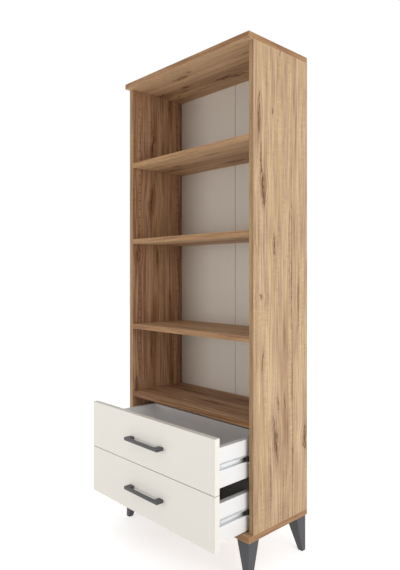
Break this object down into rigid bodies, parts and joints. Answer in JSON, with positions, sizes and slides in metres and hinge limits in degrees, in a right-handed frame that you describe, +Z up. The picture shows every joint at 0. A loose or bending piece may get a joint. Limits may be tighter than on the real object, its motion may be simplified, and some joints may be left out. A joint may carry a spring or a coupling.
{
  "type": "bookcase with bottom drawers",
  "caption": "Tall open bookcase on tapered legs: adjustable shelves over two pull-out drawers with bow handles, on ball runners.",
  "frame": {"origin": "middle of the footprint on the floor, with the drawers pulled out as they rest", "axes": "+Z up, +X to the right seen from the front, +Y from the front to the back; the drawers pull out along -Y"},
  "size_m": [0.62, 0.457, 1.63],
  "materials": {
    "oak_decor_board": "satin wood decor",
    "grey_back_board": "matt painted hardboard",
    "brown_tape": "matt",
    "zinc_plated_steel": "zinc plated",
    "black_leg": "fine matt",
    "beech": "raw",
    "oak_cap": "satin",
    "black_cage": "satin",
    "bearing_steel": "polished",
    "cream_front": "matt cream foil",
    "black_handle": "fine matt",
    "white_board": "matt white foil",
    "white_bottom_board": "matt white hardboard"
  },
  "bodies": {
    "carcass": {"back_fold_tape": "brown_tape", "back_panel_left": "grey_back_board", "back_panel_right": "grey_back_board", "base_panel": "oak_decor_board", "carcass_screws": "zinc_plated_steel", "dowels": "beech", "fixed_shelf": "oak_decor_board", "leg_bolts": "zinc_plated_steel", "leg_front_left": "black_leg", "leg_front_right": "black_leg", "leg_plate_screws": "zinc_plated_steel", "leg_plates": "zinc_plated_steel", "leg_rear_left": "black_leg", "leg_rear_right": "black_leg", "lower_rail_left": "zinc_plated_steel", "lower_rail_right": "zinc_plated_steel", "rail_screws": "zinc_plated_steel", "screw_caps": "oak_cap", "shelf_cam_bolts": "zinc_plated_steel", "shelf_cam_locks": "zinc_plated_steel", "shelf_lower": "oak_decor_board", "shelf_middle": "oak_decor_board", "shelf_pins": "zinc_plated_steel", "shelf_upper": "oak_decor_board", "side_panel_left": "oak_decor_board", "side_panel_right": "oak_decor_board", "top_panel": "oak_decor_board", "upper_rail_left": "zinc_plated_steel", "upper_rail_right": "zinc_plated_steel"},
    "upper_drawer": {"upper_drawer_back": "white_board", "upper_drawer_bottom": "white_bottom_board", "upper_drawer_box_screws": "zinc_plated_steel", "upper_drawer_cam_bolts": "zinc_plated_steel", "upper_drawer_cam_locks": "zinc_plated_steel", "upper_drawer_front": "cream_front", "upper_drawer_handle": "black_handle", "upper_drawer_handle_screws": "zinc_plated_steel", "upper_drawer_side_left": "white_board", "upper_drawer_side_right": "white_board", "upper_drawer_slider_left": "zinc_plated_steel", "upper_drawer_slider_right": "zinc_plated_steel", "upper_drawer_slider_screws": "zinc_plated_steel"},
    "lower_drawer": {"lower_drawer_back": "white_board", "lower_drawer_bottom": "white_bottom_board", "lower_drawer_box_screws": "zinc_plated_steel", "lower_drawer_cam_bolts": "zinc_plated_steel", "lower_drawer_cam_locks": "zinc_plated_steel", "lower_drawer_front": "cream_front", "lower_drawer_handle": "black_handle", "lower_drawer_handle_screws": "zinc_plated_steel", "lower_drawer_side_left": "white_board", "lower_drawer_side_right": "white_board", "lower_drawer_slider_left": "zinc_plated_steel", "lower_drawer_slider_right": "zinc_plated_steel", "lower_drawer_slider_screws": "zinc_plated_steel"},
    "upper_cages": {"upper_ball_cages": "black_cage", "upper_balls": "bearing_steel"},
    "lower_cages": {"lower_ball_cages": "black_cage", "lower_balls": "bearing_steel"}
  },
  "joints": [
    {"name": "upper_drawer_slide", "type": "slide", "parent": "carcass", "child": "upper_drawer", "axis": [0, -1, 0], "range_m": [-0.141, 0.009]},
    {"name": "upper_cage_slide", "type": "slide", "parent": "carcass", "child": "upper_cages", "axis": [0, -1, 0], "range_m": [-0.071, 0.005]},
    {"name": "lower_drawer_slide", "type": "slide", "parent": "carcass", "child": "lower_drawer", "axis": [0, -1, 0], "range_m": [-0.141, 0.009]},
    {"name": "lower_cage_slide", "type": "slide", "parent": "carcass", "child": "lower_cages", "axis": [0, -1, 0], "range_m": [-0.071, 0.005]}
  ],
  "couplings": [
    {"joint": "upper_cage_slide", "follows": "upper_drawer_slide", "ratio": 0.5},
    {"joint": "lower_cage_slide", "follows": "lower_drawer_slide", "ratio": 0.5}
  ]
}
